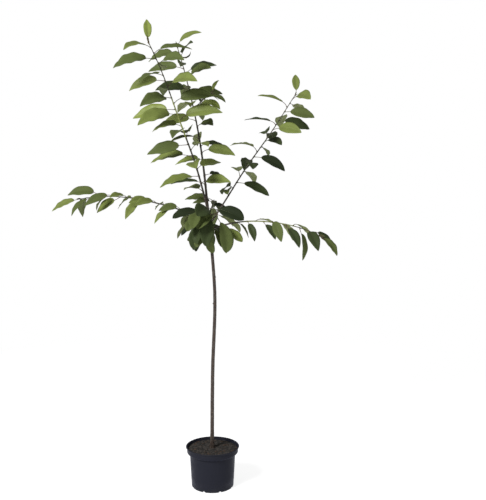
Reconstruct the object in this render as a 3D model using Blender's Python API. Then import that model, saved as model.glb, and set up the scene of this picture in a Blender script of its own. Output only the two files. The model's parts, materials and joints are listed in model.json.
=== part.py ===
# A young sweet cherry on a clear stem, growing in a five litre nursery pot.
# Metres, +Z up. The origin is the middle of the pot's flat underside.
# The camera side of the tree is -Y, and +X is its right hand side.

import math
import random

import bmesh
import bpy
import numpy as np
from mathutils import Matrix, Vector

# Pot
POT_HEIGHT = 0.180
RIM_RADIUS = 0.1175
BAND_RADIUS = 0.1122
BAND_HEIGHT = 0.029
BODY_TOP_RADIUS = 0.1000
BODY_BASE_RADIUS = 0.0925
POT_WALL = 0.0022
POT_SEGMENTS = 48
NOTCHES = 8
NOTCH_WIDTH = 0.014
NOTCH_HEIGHT = 0.006
NOTCH_DEPTH = 0.012

# Potting soil
SOIL_LEVEL = 0.170
SOIL_EDGE_DROP = 0.002

# Trunk
FORK_HEIGHT = 1.237
CROWN_FOOT = 1.0
TRUNK_BASE_RADIUS = 0.0088
TRUNK_TOP_RADIUS = 0.0064
FLARE_RADIUS = 0.0050
FLARE_HEIGHT = 0.018
# How far the stem strays from the pot's axis, at shares of its height
TRUNK_BENDS = (
    (0.00, -0.002, 0.000),
    (0.33, 0.002, 0.004),
    (0.62, 0.013, -0.003),
    (0.82, 0.001, 0.002),
    (1.00, -0.017, 0.000),
)
TRUNK_SIDES = 12
LIMB_SIDES = 8
TWIG_SIDES = 6

# Where a limb leaves the trunk it swells into a collar, which fades along it
COLLAR_SWELL = 0.0008
COLLAR_FADE = 0.012
# A limb sways by this many degrees, at this many radians a metre
SWAY = 2.5
SWAY_RATE = 15
# A leader that carries on from the trunk turns to its own way over this length
FIRST_BEND = 0.05

# How far apart the rings of the solids are
TRUNK_RINGS = 44
PATH_STEP = 0.008
BOUGH_STEP = 0.008
TWIG_STEP = 0.03
SHOOT_STEP = 0.05

# Clear space between neighbours
GAP = 0.0003
LEAF_CLEARANCE = 0.0115
STEM_CLEARANCE = 0.0110

# Leaves
PETIOLE_SHARE = 0.27
PETIOLE_RADIUS = 0.0012
LEAF_THICKNESS = 0.0016
LEAF_FOLD = 0.26
# A blade bends down by so many degrees from its foot to its tip
LEAF_ARCH = (22, 48)
LEAF_STATIONS = (0.12, 0.37, 0.65, 0.87)
# Half a blade's width as a share of its length
LEAF_SLIMNESS = (0.172, 0.210)
# How far leaves differ: in size, in how much of the droop they take, in the length of their
# stalks, and in degrees round the shoot, in azimuth and in twist
SIZE_SPREAD = (0.84, 1.08)
DROOP_SPREAD = (0.10, 0.75)
STALK_SPREAD = (0.85, 1.15)
TURN_SPREAD = 23
OPEN_SPREAD = 10
AZIMUTH_SPREAD = 14
TWIST_SPREAD = 16
MIDRIB_STEPS = 6
WHORL_ANGLE = math.radians(137.5)
TRIES = 20
# The first and last leaf stand this far in from the ends of the leafy stretch
FIRST_NODE = 0.018
LAST_NODE = 0.002

# Each limb leaves the trunk at a height. Pairs of values hold at its foot and at its tip:
# the azimuth that it heads to (0 is +X, 90 is +Y), the angle at which it rises, its radius,
# the length of its leaves and the angle by which they droop. Its first bare stretch is the
# bough, and the rest is the leafy shoot. A limb with no bare stretch is a leafy spur. The
# shoot's leaves grow in as many stretches as it has seeds. Blades roll by up to the angle
# roll either way, and lean by the angle lean to the light, which comes from -Y. The last
# leaf, at the tip, has its own azimuth, rise, roll and length under top.
LIMBS = {
    "left_leader": dict(
        height=FORK_HEIGHT - 0.014, azimuth=(-138, -158), rise=(71, 65), length=0.728, bare=0.062,
        radius=(0.0046, 0.0016), seeds=(4027, 860, 3087, 798), leaves=26, leaf=(0.152, 0.142), open=64,
        droop=(4, 4), roll=26, lean=42, top=(104, 86, 0, 0.088), broad=1.0,
    ),
    "right_leader": dict(
        height=FORK_HEIGHT, azimuth=(112, 150), rise=(77, 69), length=0.715, bare=0.075,
        radius=(0.0056, 0.0016), seeds=(2754, 3054, 1582, 3662), leaves=23, leaf=(0.130, 0.124), open=64,
        droop=(18, -14), roll=32, lean=36, top=(-5, 42, 40, 0.105), broad=1.0,
    ),
    "diagonal": dict(
        height=1.160, azimuth=(24, 14), rise=(54, 55), length=0.685, bare=0.132,
        radius=(0.0040, 0.0015), seeds=(772, 3381, 15, 2434), leaves=22, leaf=(0.128, 0.122), open=62,
        droop=(18, 6), roll=38, lean=42, top=(96, 78, 0, 0.078), broad=1.15,
    ),
    "left_arm": dict(
        height=1.170, azimuth=(172, 172), rise=(25, -9), length=0.590, bare=0.072,
        radius=(0.0039, 0.0014), seeds=(4165, 699, 1972), leaves=16, leaf=(0.084, 0.116), open=50,
        droop=(34, 44), roll=32, lean=38, top=(188, -12, -38, 0.110), broad=1.0,
    ),
    "right_arm": dict(
        height=1.138, azimuth=(-17, -17), rise=(19, -27), length=0.490, bare=0.110,
        radius=(0.0038, 0.0014), seeds=(2241, 1965), leaves=12, leaf=(0.080, 0.116), open=54,
        droop=(44, 96), roll=34, lean=32, top=(-17, -30, 32, 0.092), broad=1.1,
    ),
    "spur_front_right": dict(
        height=1.196, azimuth=(-48, -48), rise=(20, 0), length=0.060, bare=0,
        radius=(0.0026, 0.0018), seeds=(146,), leaves=7, leaf=(0.128, 0.124), open=70,
        droop=(74, 74), roll=34, lean=28, top=(-48, -25, 20, 0.082), broad=1.5,
    ),
    "spur_front_left": dict(
        height=1.192, azimuth=(-128, -128), rise=(15, 0), length=0.060, bare=0,
        radius=(0.0026, 0.0018), seeds=(1930,), leaves=7, leaf=(0.114, 0.116), open=66,
        droop=(74, 74), roll=34, lean=28, top=(-128, -25, -20, 0.082), broad=1.5,
    ),
    "spur_front_low": dict(
        height=1.134, azimuth=(-88, -88), rise=(10, -10), length=0.045, bare=0,
        radius=(0.0024, 0.0017), seeds=(425,), leaves=6, leaf=(0.086, 0.088), open=66,
        droop=(84, 84), roll=34, lean=24, top=(-88, -50, 0, 0.062), broad=1.5,
    ),
    "spur_left": dict(
        height=1.150, azimuth=(-165, -165), rise=(10, -5), length=0.050, bare=0,
        radius=(0.0024, 0.0017), seeds=(901,), leaves=6, leaf=(0.110, 0.108), open=64,
        droop=(66, 66), roll=32, lean=28, top=(-165, -35, -25, 0.076), broad=1.5,
    ),
    "spur_right": dict(
        height=1.124, azimuth=(-12, -12), rise=(5, -8), length=0.045, bare=0,
        radius=(0.0024, 0.0017), seeds=(1105,), leaves=6, leaf=(0.094, 0.094), open=64,
        droop=(76, 76), roll=32, lean=28, top=(-12, -40, 25, 0.066), broad=1.5,
    ),
    "back_shoot": dict(
        height=1.186, azimuth=(84, 92), rise=(24, 4), length=0.260, bare=0,
        radius=(0.0034, 0.0015), seeds=(422,), leaves=11, leaf=(0.112, 0.104), open=60,
        droop=(48, 44), roll=34, lean=20, top=(92, -10, 0, 0.074), broad=1.0,
    ),
    "spur_back_low": dict(
        height=1.140, azimuth=(128, 128), rise=(10, -8), length=0.050, bare=0,
        radius=(0.0024, 0.0017), seeds=(1201,), leaves=6, leaf=(0.108, 0.104), open=64,
        droop=(64, 64), roll=32, lean=20, top=(128, -35, -10, 0.074), broad=1.5,
    ),
}

# The one side twig, on the shoot of the right leader
SIDE_TWIG = dict(
    parent="right_leader", at=0.430, azimuth=(-12, 8), rise=(44, 34), length=0.105, bare=0.006,
    radius=(0.0018, 0.0011), seeds=(195,), leaves=8, leaf=(0.062, 0.066), open=60,
    droop=(14, 4), roll=34, lean=34, top=(20, 80, 30, 0.052), broad=1.1,
)

COLOURS = {
    "bark": ((0.105, 0.058, 0.036), 0.55),
    "leaf": ((0.110, 0.170, 0.045), 0.45),
    "pot_plastic": ((0.022, 0.025, 0.038), 0.42),
    "soil": ((0.045, 0.034, 0.026), 0.95),
}


def clear_scene():
    for obj in list(bpy.data.objects):
        bpy.data.objects.remove(obj, do_unlink=True)


def material(name):
    """One plain finish by its name in COLOURS."""
    found = bpy.data.materials.get(name)
    if found:
        return found
    colour, roughness = COLOURS[name]
    made = bpy.data.materials.new(name)
    made.use_nodes = True
    shader = made.node_tree.nodes["Principled BSDF"]
    shader.inputs["Base Color"].default_value = (*colour, 1)
    shader.inputs["Roughness"].default_value = roughness
    shader.inputs["Metallic"].default_value = 0
    return made


def new_object(name, shape, finish, smooth_angle=40):
    """Turns a bmesh into a named object with its material."""
    mesh = bpy.data.meshes.new(name)
    shape.to_mesh(mesh)
    shape.free()
    mesh.shade_smooth()
    mesh.set_sharp_from_angle(angle=math.radians(smooth_angle))
    mesh.materials.append(material(finish))
    made = bpy.data.objects.new(name, mesh)
    bpy.context.scene.collection.objects.link(made)
    return made


def blend(a, b, share):
    return a + (b - a) * share


def heading(azimuth, rise):
    """A unit vector from two angles in degrees."""
    a, r = math.radians(azimuth), math.radians(rise)
    return Vector((math.cos(r) * math.cos(a), math.cos(r) * math.sin(a), math.sin(r)))


# Lines that limbs follow


def trunk_offset(share):
    """The stem's offset from the pot's axis, on a smooth curve through TRUNK_BENDS."""
    last = len(TRUNK_BENDS) - 1
    span = next((i for i in range(last) if share <= TRUNK_BENDS[i + 1][0]), last - 1)
    before, low, high, after = (TRUNK_BENDS[min(max(i, 0), last)] for i in range(span - 1, span + 3))
    t = (share - low[0]) / (high[0] - low[0])
    offset = []
    for axis in (1, 2):
        slope_low = (high[axis] - before[axis]) / (high[0] - before[0])
        slope_high = (after[axis] - low[axis]) / (after[0] - low[0])
        width = high[0] - low[0]
        offset.append(
            (2 * t**3 - 3 * t**2 + 1) * low[axis]
            + (t**3 - 2 * t**2 + t) * width * slope_low
            + (3 * t**2 - 2 * t**3) * high[axis]
            + (t**3 - t**2) * width * slope_high
        )
    return offset


def trunk_point(height):
    share = (height - SOIL_LEVEL) / (FORK_HEIGHT - SOIL_LEVEL)
    x, y = trunk_offset(share)
    return Vector((x, y, height))


def trunk_radius(height):
    share = (height - SOIL_LEVEL) / (FORK_HEIGHT - SOIL_LEVEL)
    flare = FLARE_RADIUS * math.exp(-(height - SOIL_LEVEL) / FLARE_HEIGHT)
    return blend(TRUNK_BASE_RADIUS, TRUNK_TOP_RADIUS, share) + flare


def trunk_path():
    """Points and radii of the stem, closer together in the root flare."""
    heights = [SOIL_LEVEL + GAP, SOIL_LEVEL + 0.008, SOIL_LEVEL + 0.020, SOIL_LEVEL + 0.045]
    first = SOIL_LEVEL + 0.09
    heights += [blend(first, FORK_HEIGHT, i / TRUNK_RINGS) for i in range(TRUNK_RINGS + 1)]
    return [trunk_point(h) for h in heights], [trunk_radius(h) for h in heights]


def shoot_path(shoot, start, first_way=None):
    """Points PATH_STEP apart along a limb or twig. A first way makes it set off along that."""
    count = round(shoot["length"] / PATH_STEP)
    step = shoot["length"] / count
    point = start.copy()
    path = [start.copy()]
    for i in range(count):
        t = (i + 0.5) / count
        sway = SWAY * math.sin(SWAY_RATE * t * shoot["length"] + shoot["azimuth"][0])
        way = heading(blend(*shoot["azimuth"], t) + sway, blend(*shoot["rise"], t**1.2) + 0.6 * sway)
        if first_way:
            turned_by = (i + 1) * step / FIRST_BEND
            way = first_way.lerp(way, min(1.0, turned_by)).normalized()
        point = point + way * step
        path.append(point.copy())
    return path


def limb_path(limb):
    """A limb's points from the trunk's centre line to its tip."""
    if limb["height"] < FORK_HEIGHT:
        return shoot_path(limb, trunk_point(limb["height"]))
    top_way = (trunk_point(FORK_HEIGHT) - trunk_point(FORK_HEIGHT - 0.02)).normalized()
    return shoot_path(limb, trunk_point(limb["height"]), top_way)


def limb_radius(limb, distance):
    """A limb tapers evenly, with a swollen collar where it leaves the trunk."""
    share = distance / limb["length"]
    return blend(*limb["radius"], share**0.8) + COLLAR_SWELL * math.exp(-distance / COLLAR_FADE)


def at_distance(path, distance):
    """The point and the direction at a distance along a path of even steps."""
    step = (path[1] - path[0]).length
    place = min(max(distance / step, 0), len(path) - 1.001)
    i = int(place)
    return path[i].lerp(path[i + 1], place - i), (path[i + 1] - path[i]).normalized()


# The rule by which leaves grow


def leaf_half_width(share, leaf):
    """Half the blade's width at a share of its length, with a long taper to a pointed tip.

    A broad leaf is widest past its middle and has a blunter tip.
    """
    place = share ** (0.85 * leaf["broad"])
    body = (4 * place * (1 - place)) ** 0.6
    fade = min(max((share - 0.5) / 0.5, 0), 1)
    return leaf["half_width"] * body * (1 - 0.5 * fade * fade * (3 - 2 * fade) / leaf["broad"] ** 3)


def leaf_line(leaf, share):
    """The midrib's point, its direction, and the blade's sideways direction at a share."""
    point = leaf["foot"].copy()
    step = share / MIDRIB_STEPS
    for i in range(MIDRIB_STEPS):
        t = (i + 0.5) * step
        way = heading(leaf["azimuth"] + leaf["twist"] * t, leaf["rise"] - leaf["arch"] * t)
        point += way * leaf["length"] * step
    azimuth = math.radians(leaf["azimuth"] + leaf["twist"] * share)
    level = Vector((math.sin(azimuth), -math.cos(azimuth), 0))
    across = Matrix.Rotation(math.radians(leaf["roll"]), 3, way) @ level
    return point, way, across


def leaf_samples(leaf):
    """Points spread over the blade, for the test of clear space."""
    points = []
    for i in range(8):
        share = 0.04 + 0.96 * i / 7
        point, way, across = leaf_line(leaf, share)
        width = leaf_half_width(min(share, 0.97), leaf)
        points += [point + across * width * side for side in (-0.95, -0.5, 0, 0.5, 0.95)]
    return np.array(points)


def leaf_try(shoot, path, order, first_turn, draw):
    """One way that a leaf could hang from its node on the shoot."""
    share = (order / (shoot["leaves"] - 1)) ** 0.88
    distance = blend(shoot["bare"] + FIRST_NODE, shoot["length"] - LAST_NODE, share)
    node, along = at_distance(path, distance)
    side = along.cross(Vector((0, 0, 1))).normalized()
    up = side.cross(along)
    turn = first_turn + order * WHORL_ANGLE + math.radians(draw.uniform(-TURN_SPREAD, TURN_SPREAD))
    out = side * math.cos(turn) + up * math.sin(turn)
    opening = math.radians(shoot["open"] + draw.uniform(-OPEN_SPREAD, OPEN_SPREAD))
    way = (out * math.sin(opening) + along * math.cos(opening)).normalized()
    azimuth = math.degrees(math.atan2(way.y, way.x)) + draw.uniform(-AZIMUTH_SPREAD, AZIMUTH_SPREAD)
    rise = math.degrees(math.asin(way.z))
    size = blend(*shoot["leaf"], share) * draw.uniform(*SIZE_SPREAD)
    droop = blend(*shoot["droop"], share**2)
    blade_rise = min(0.45 * rise, 30) - droop * draw.uniform(*DROOP_SPREAD)
    stalk_share = PETIOLE_SHARE * draw.uniform(*STALK_SPREAD)
    arch = draw.uniform(*LEAF_ARCH)
    twist = draw.uniform(-TWIST_SPREAD, TWIST_SPREAD)
    roll = shoot["lean"] * math.cos(math.radians(azimuth)) + shoot["roll"] * draw.uniform(-1, 1)
    slimness = draw.uniform(*LEAF_SLIMNESS) * shoot["broad"] ** 0.5
    if order == shoot["leaves"] - 1:
        azimuth, blade_rise, roll, size = shoot["top"]
        way = (along + heading(azimuth, blade_rise)).normalized()
    petiole = size * stalk_share
    bend = way.lerp(heading(azimuth, blade_rise), 0.6).normalized()
    elbow = node + way * petiole * 0.5
    return {
        "node": node,
        "elbow": elbow,
        "foot": elbow + bend * petiole * 0.5,
        "azimuth": azimuth,
        "rise": blade_rise,
        "arch": arch,
        "twist": twist,
        "roll": roll,
        "length": size,
        "half_width": size * slimness,
        "broad": shoot["broad"],
    }


def grow_stretch(shoot, path, orders, seed, grown, stems):
    """The leaves of one stretch of a shoot. One that can't keep clear of its neighbours is skipped."""
    draw = random.Random(seed)
    first_turn = draw.uniform(0, math.tau)
    leaves = []
    for order in orders:
        for _ in range(TRIES):
            leaf = leaf_try(shoot, path, order, first_turn, draw)
            spots = leaf_samples(leaf)
            if crowded(spots, stems, STEM_CLEARANCE):
                continue
            spots = np.concatenate([spots, [leaf["elbow"], leaf["foot"]]])
            if grown and crowded(spots, np.concatenate(grown), LEAF_CLEARANCE):
                continue
            leaves.append(leaf)
            grown.append(spots)
            break
    return leaves


def grow_leaves(shoot, path, grown, stems):
    """The leaves of one shoot, in as many stretches as it has seeds."""
    count, stretches = shoot["leaves"], len(shoot["seeds"])
    leaves = []
    for i, seed in enumerate(shoot["seeds"]):
        orders = range(i * count // stretches, (i + 1) * count // stretches)
        leaves += grow_stretch(shoot, path, orders, seed, grown, stems)
    return leaves


def crowded(spots, others, clearance):
    """Whether any of the spots is nearer than the clearance to one of the other points."""
    inside = (others > spots.min(axis=0) - clearance) & (others < spots.max(axis=0) + clearance)
    near = others[inside.all(axis=1)]
    if not len(near):
        return False
    return ((spots[:, None] - near[None]) ** 2).sum(axis=2).min() < clearance**2


# Solids


def extrude_ring(shape, ring, points):
    """Carries an open ring of vertices on to new points."""
    edges = [shape.edges.get((a, b)) for a, b in zip(ring, ring[1:] + ring[:1])]
    made = bmesh.ops.extrude_edge_only(shape, edges=edges)["geom"]
    fresh = {part for part in made if isinstance(part, bmesh.types.BMVert)}
    moved = []
    for vert in ring:
        moved.append(next(e.other_vert(vert) for e in vert.link_edges if e.other_vert(vert) in fresh))
    for vert, point in zip(moved, points):
        vert.co = point
    return moved


def loft(rings, pointed=False):
    """A closed skin through rings of points, with a flat or a pointed end."""
    shape = bmesh.new()
    ring = [shape.verts.new(point) for point in rings[0]]
    shape.faces.new(ring)
    for points in rings[1:]:
        ring = extrude_ring(shape, ring, points)
    if pointed:
        shape.faces.new(ring)
        tip = sum((vert.co for vert in ring), Vector()) / len(ring)
        bmesh.ops.pointmerge(shape, verts=ring, merge_co=tip)
    else:
        shape.faces.new(ring)
    bmesh.ops.recalc_face_normals(shape, faces=shape.faces[:])
    return shape


def tube(points, radii, sides):
    """A tapering round limb along a line of points."""
    rings = []
    across = Vector((1, 0, 0))
    for i, point in enumerate(points):
        way = (points[min(i + 1, len(points) - 1)] - points[max(i - 1, 0)]).normalized()
        across = (across - way * across.dot(way)).normalized()
        other = way.cross(across)
        ring = []
        for k in range(sides):
            a = math.tau * k / sides
            ring.append(point + (across * math.cos(a) + other * math.sin(a)) * radii[i])
        rings.append(ring)
    return loft(rings)


def section(point, across, way, width, depth, lift):
    """Four corners of a leaf or leaf stalk: left edge, top, right edge and underside."""
    up = across.cross(way)
    return [
        point - across * width + up * lift,
        point + up * depth,
        point + across * width + up * lift,
        point - up * depth,
    ]


def leaf_solid(leaf):
    """A stalk that widens into a folded, arching blade with a pointed tip."""
    stalk_way = (leaf["elbow"] - leaf["node"]).normalized()
    blade_way = (leaf["foot"] - leaf["elbow"]).normalized()
    _, _, across = leaf_line(leaf, 0)
    rings = []
    for point, way in ((leaf["node"], stalk_way), (leaf["elbow"], stalk_way), (leaf["foot"], blade_way)):
        square = (across - way * across.dot(way)).normalized()
        rings.append(section(point, square, way, PETIOLE_RADIUS, PETIOLE_RADIUS, 0))
    for share in LEAF_STATIONS:
        point, way, across = leaf_line(leaf, share)
        width = leaf_half_width(share, leaf)
        rings.append(section(point, across, way, width, LEAF_THICKNESS / 2, width * LEAF_FOLD))
    tip = leaf_line(leaf, 1.0)
    rings.append(section(tip[0], tip[2], tip[1], 0.0006, 0.0005, 0))
    return loft(rings, pointed=True)


def cutter(name, points, radii, sides):
    """A limb grown by the gap, which makes room for itself in what joins it."""
    made = new_object(name, tube(points, [r + GAP for r in radii], sides), "bark")
    made.hide_render = True
    made.display_type = "WIRE"
    return made


def cut_clear(obj, tool):
    modifier = obj.modifiers.new("room_for_" + tool.name, "BOOLEAN")
    modifier.operation = "DIFFERENCE"
    modifier.solver = "EXACT"
    modifier.object = tool


def fuse(stem, pieces, label):
    """Joins the leaves to their stem with one union, and removes the loose leaves."""
    group = bpy.data.collections.new(label)
    bpy.context.scene.collection.children.link(group)
    for piece in pieces:
        bpy.context.scene.collection.objects.unlink(piece)
        group.objects.link(piece)
    modifier = stem.modifiers.new("leaves", "BOOLEAN")
    modifier.operation = "UNION"
    modifier.solver = "EXACT"
    modifier.operand_type = "COLLECTION"
    modifier.collection = group
    bpy.context.view_layer.update()
    depsgraph = bpy.context.evaluated_depsgraph_get()
    joined = bpy.data.meshes.new_from_object(stem.evaluated_get(depsgraph))
    stem.modifiers.clear()
    stem.data = joined
    for piece in pieces:
        bpy.data.objects.remove(piece, do_unlink=True)
    bpy.data.collections.remove(group)


# Pot and soil


def turned(profile, segments):
    """A ring of profile points (radius, height) turned once round the Z axis."""
    shape = bmesh.new()
    ring = [shape.verts.new((r, 0, z)) for r, z in profile]
    edges = [shape.edges.new((a, b)) for a, b in zip(ring, ring[1:])]
    bmesh.ops.spin(
        shape, geom=ring + edges, cent=(0, 0, 0), axis=(0, 0, 1), angle=math.tau,
        steps=segments, use_merge=True,
    )
    bmesh.ops.remove_doubles(shape, verts=shape.verts[:], dist=0.00001)
    bmesh.ops.recalc_face_normals(shape, faces=shape.faces[:])
    return shape


def pot_outside():
    """The outer wall from the underside's edge up to the lip."""
    band_foot = POT_HEIGHT - BAND_HEIGHT
    return [
        (BODY_BASE_RADIUS - 0.003, 0.0),
        (BODY_BASE_RADIUS, 0.004),
        (BODY_TOP_RADIUS, band_foot - 0.003),
        (BAND_RADIUS - 0.003, band_foot),
        (BAND_RADIUS - 0.0015, band_foot + 0.003),
        (BAND_RADIUS, POT_HEIGHT - 0.004),
        (RIM_RADIUS, POT_HEIGHT - 0.003),
    ]


def make_pot():
    outside = pot_outside()
    lip = [
        (RIM_RADIUS, POT_HEIGHT - 0.001),
        (RIM_RADIUS - 0.001, POT_HEIGHT),
        (BAND_RADIUS - POT_WALL, POT_HEIGHT),
    ]
    inside = [(r - POT_WALL, z) for r, z in reversed(outside[2:6])]
    inside_foot = BODY_BASE_RADIUS - POT_WALL
    floor = [(inside_foot - 0.001, POT_WALL + 0.002), (inside_foot - 0.003, POT_WALL), (0, POT_WALL)]
    profile = [(0, 0), *outside, *lip, *inside, *floor]
    pot = new_object("pot", turned(profile, POT_SEGMENTS), "pot_plastic")
    for i in range(NOTCHES):
        notch = bmesh.new()
        size = Matrix.Diagonal((2 * NOTCH_DEPTH, NOTCH_WIDTH, 2 * NOTCH_HEIGHT, 1))
        turn = Matrix.Rotation(math.tau * (i + 0.5) / NOTCHES, 4, "Z")
        place = Matrix.Translation((BODY_BASE_RADIUS, 0, 0))
        bmesh.ops.create_cube(notch, size=1, matrix=turn @ place @ size)
        tool = new_object(f"notch_{i}", notch, "pot_plastic")
        tool.hide_render = True
        tool.display_type = "WIRE"
        cut_clear(pot, tool)
    return pot


def make_soil():
    """The root ball, a little smaller than the inside of the pot all round."""
    shrink = POT_WALL + GAP
    underside = POT_WALL + GAP
    foot = [(BODY_BASE_RADIUS - shrink - 0.006, underside), (BODY_BASE_RADIUS - shrink - 0.002, 0.006)]
    wall = [(r - shrink, z) for r, z in pot_outside()[2:5]]
    edge = (BAND_RADIUS - shrink - 0.0006, SOIL_LEVEL - SOIL_EDGE_DROP)
    surface = [(0.070, SOIL_LEVEL - SOIL_EDGE_DROP / 2), (0.032, SOIL_LEVEL)]
    profile = [(0, underside), *foot, *wall, edge, *surface, (0, SOIL_LEVEL)]
    return new_object("potting_soil", turned(profile, POT_SEGMENTS), "soil")


def make_trunk():
    points, radii = trunk_path()
    trunk = new_object("trunk", tube(points, radii, TRUNK_SIDES), "bark")
    return trunk, cutter("trunk_room", points, radii, TRUNK_SIDES)


def grow_all():
    """The line of each shoot and its leaves, from the same seeds each time."""
    shoots = {}
    paths = {}
    for name, limb in LIMBS.items():
        shoots[name] = limb
        paths[name] = limb_path(limb)
        if name == SIDE_TWIG["parent"]:
            shoots["side_twig"] = SIDE_TWIG
            paths["side_twig"] = shoot_path(SIDE_TWIG, at_distance(paths[name], SIDE_TWIG["at"])[0])
    stems = [point for path in paths.values() for point in path[1:]]
    count = round((FORK_HEIGHT - CROWN_FOOT) / PATH_STEP)
    stems += [trunk_point(blend(CROWN_FOOT, FORK_HEIGHT, i / count)) for i in range(count + 1)]
    stems = np.array(stems)
    grown = []
    leaves = {name: grow_leaves(shoot, paths[name], grown, stems) for name, shoot in shoots.items()}
    return paths, leaves


def stretch(shoot, path, reach, spacing):
    """Points and radii of a limb or twig between two distances along its path."""
    start, end = reach
    count = max(3, round((end - start) / spacing))
    distances = [blend(start, end, i / count) for i in range(count + 1)]
    return [at_distance(path, d)[0] for d in distances], [limb_radius(shoot, d) for d in distances]


def shoot_solid(name, shoot, path, reach, sides, finish, spacing):
    points, radii = stretch(shoot, path, reach, spacing)
    return new_object(name, tube(points, radii, sides), finish)


def leafy_pieces(name, leaves):
    return [new_object(f"leaf_{name}_{i}", leaf_solid(leaf), "leaf") for i, leaf in enumerate(leaves)]


def make_bough(name, limb, path, rooms):
    """The bare foot of a limb, cut clear of the trunk and of the leader on top of it."""
    start = 0 if rooms else GAP
    bough = shoot_solid("bough_" + name, limb, path, (start, limb["bare"]), LIMB_SIDES, "bark", BOUGH_STEP)
    for room in rooms:
        cut_clear(bough, room)


def make_foliage(name, limb, paths, leaves):
    """The leafy stretch of a limb, as one solid."""
    first = limb["bare"] + GAP if limb["bare"] else 0
    reach = (first, limb["length"])
    stem = shoot_solid("foliage_" + name, limb, paths[name], reach, TWIG_SIDES, "leaf", SHOOT_STEP)
    pieces = leafy_pieces(name, leaves[name])
    if name == SIDE_TWIG["parent"]:
        reach = (0, SIDE_TWIG["length"])
        path = paths["side_twig"]
        twig = shoot_solid("side_twig", SIDE_TWIG, path, reach, TWIG_SIDES, "leaf", TWIG_STEP)
        pieces += [twig, *leafy_pieces("side_twig", leaves["side_twig"])]
    fuse(stem, pieces, name)
    return stem


def make_crown(trunk_room):
    paths, leaves = grow_all()
    rooms = [trunk_room]
    for name, limb in sorted(LIMBS.items(), key=lambda item: -item[1]["height"]):
        on_top = limb["height"] >= FORK_HEIGHT
        if limb["bare"]:
            make_bough(name, limb, paths[name], [] if on_top else rooms)
        if on_top:
            points, radii = stretch(limb, paths[name], (0, limb["bare"]), PATH_STEP / 2)
            rooms.append(cutter(name + "_room", points, radii, LIMB_SIDES))
        foliage = make_foliage(name, limb, paths, leaves)
        if not limb["bare"]:
            cut_clear(foliage, trunk_room)
    return leaves


def main():
    clear_scene()
    make_pot()
    make_soil()
    _, trunk_room = make_trunk()
    leaves = make_crown(trunk_room)
    counts = ", ".join(f"{name} {len(found)}" for name, found in leaves.items())
    print(f"{sum(map(len, leaves.values()))} leaves: {counts}")


main()
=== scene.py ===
# A young sweet cherry tree in its nursery pot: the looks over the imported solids.
# Metres, +Z up. The tree's front faces -Y, and +X is its right.

import json
import math
import random

import bmesh
import bpy
import numpy
from mathutils import Euler, Matrix, Vector, noise

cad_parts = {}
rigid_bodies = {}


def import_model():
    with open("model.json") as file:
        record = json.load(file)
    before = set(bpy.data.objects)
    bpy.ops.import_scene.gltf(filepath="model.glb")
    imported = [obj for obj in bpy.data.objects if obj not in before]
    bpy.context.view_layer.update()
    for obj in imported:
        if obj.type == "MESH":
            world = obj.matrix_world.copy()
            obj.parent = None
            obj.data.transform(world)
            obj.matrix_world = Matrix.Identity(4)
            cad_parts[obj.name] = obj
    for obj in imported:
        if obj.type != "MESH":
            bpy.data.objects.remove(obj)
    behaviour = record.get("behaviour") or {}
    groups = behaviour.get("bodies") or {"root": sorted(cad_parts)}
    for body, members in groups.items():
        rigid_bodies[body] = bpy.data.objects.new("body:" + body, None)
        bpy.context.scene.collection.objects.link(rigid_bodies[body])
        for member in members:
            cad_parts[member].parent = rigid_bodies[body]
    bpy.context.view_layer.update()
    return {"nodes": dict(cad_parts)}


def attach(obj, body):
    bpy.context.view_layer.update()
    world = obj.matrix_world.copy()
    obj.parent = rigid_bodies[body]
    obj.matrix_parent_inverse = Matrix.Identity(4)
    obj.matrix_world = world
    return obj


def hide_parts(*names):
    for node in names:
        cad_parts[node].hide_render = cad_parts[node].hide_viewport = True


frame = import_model()
print("frame loaded,", len(frame["nodes"]), "solids")

# Shader helpers


def fill(tree, entry, value):
    # a socket is linked, and a number or a colour is set
    if isinstance(value, bpy.types.NodeSocket):
        tree.links.new(value, entry)
    elif entry.type == "RGBA":
        entry.default_value = (*value, 1)
    else:
        entry.default_value = value


def addNode(tree, kind, values=None, **settings):
    node = tree.nodes.new("ShaderNode" + kind)
    for name, value in settings.items():
        setattr(node, name, value)
    for name, value in (values or {}).items():
        fill(tree, node.inputs[name], value)
    return node


def calc(tree, operation, *values, clamp=False):
    node = addNode(tree, "Math", operation=operation, use_clamp=clamp)
    for entry, value in zip(node.inputs, values):
        fill(tree, entry, value)
    return node.outputs["Value"]


def mixColours(tree, factor, first, second):
    node = addNode(tree, "Mix", data_type="RGBA")
    live = [entry for entry in node.inputs if entry.enabled]
    for entry, value in zip(live, (factor, first, second)):
        fill(tree, entry, value)
    return next(result for result in node.outputs if result.enabled)


def remap(tree, value, low, high, start=0.0, end=1.0, **settings):
    given = {"Value": value, "From Min": low, "From Max": high, "To Min": start, "To Max": end}
    return addNode(tree, "MapRange", given, **settings).outputs["Result"]


def stretch(tree, place, scale):
    return addNode(tree, "Mapping", {"Vector": place, "Scale": scale}).outputs["Vector"]


def newGroup(name, inputs, outputs):
    group = bpy.data.node_groups.new(name, "ShaderNodeTree")
    for label, value in inputs.items():
        kind = "NodeSocketVector" if value is None else "NodeSocketFloat"
        socket = group.interface.new_socket(label, in_out="INPUT", socket_type=kind)
        if value is not None:
            socket.default_value = value
    for label in outputs:
        group.interface.new_socket(label, in_out="OUTPUT", socket_type="NodeSocketFloat")
    return group, group.nodes.new("NodeGroupInput").outputs, group.nodes.new("NodeGroupOutput").inputs


def placeGroup(tree, group, values):
    node = addNode(tree, "Group", node_tree=group)
    for name, value in values.items():
        fill(tree, node.inputs[name], value)
    return node.outputs


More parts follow.
